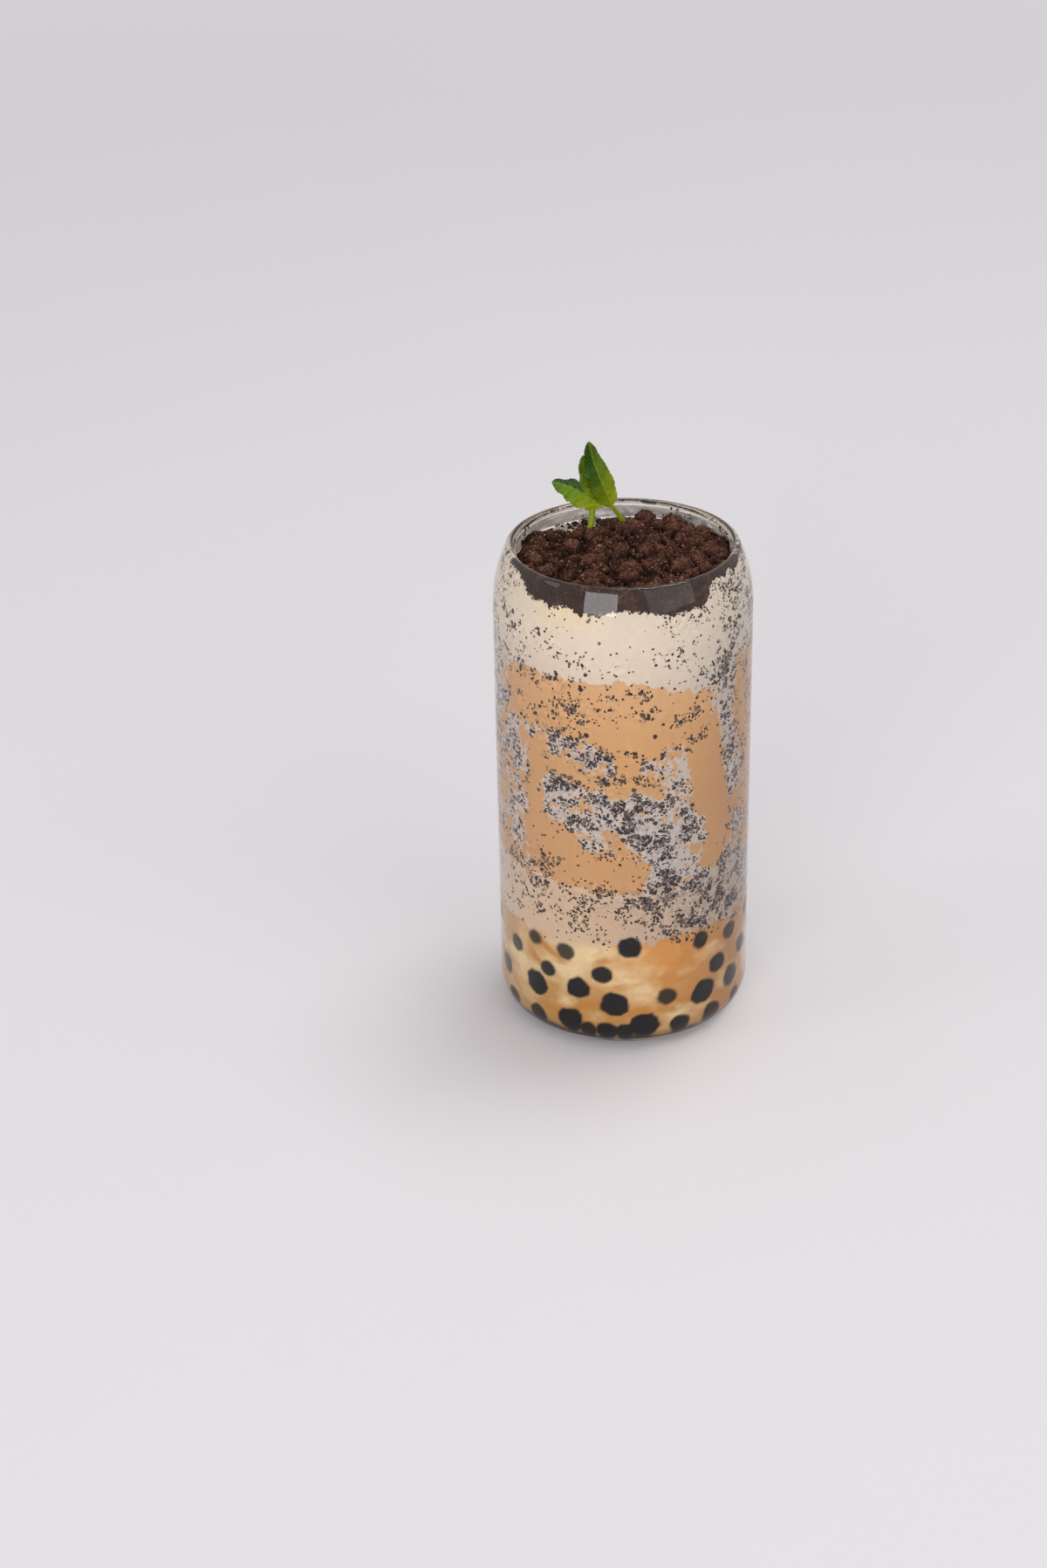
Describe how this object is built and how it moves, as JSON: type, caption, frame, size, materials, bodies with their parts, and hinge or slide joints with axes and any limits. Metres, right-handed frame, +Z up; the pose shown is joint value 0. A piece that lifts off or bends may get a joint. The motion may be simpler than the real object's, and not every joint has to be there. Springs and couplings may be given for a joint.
{
  "type": "bubble tea in a can glass",
  "caption": "Layered iced bubble tea with pearls, cream and cookie crumbs in a can-shaped drinking glass, topped with fresh mint.",
  "frame": {"origin": "centre of the glass's foot, on the surface it stands on", "axes": "+Z up along the glass's axis; -Y is the side the picture was taken from; the mint stands towards -X and +Y"},
  "size_m": [0.075, 0.075, 0.1743],
  "materials": {
    "clear_glass": "clear polished glass",
    "pearl_tea": "brown-sugar milk tea with dark tapioca pearls in it",
    "cookie_cream": "beige cream speckled with cookie crumbs",
    "milk_tea": "caramel milk tea marbled with cream and crumbs",
    "cream": "soft whipped cream",
    "cookie_crumbs": "dry crushed dark chocolate cookie",
    "mint": "fresh mint leaf and stem"
  },
  "bodies": {
    "root": {"glass": "clear_glass", "pearl_tea": "pearl_tea", "cookie_cream": "cookie_cream", "milk_tea": "milk_tea", "top_cream": "cream", "crumb_heap": "cookie_crumbs", "mint_leaf": "mint", "mint_sprig": "mint"}
  },
  "joints": []
}
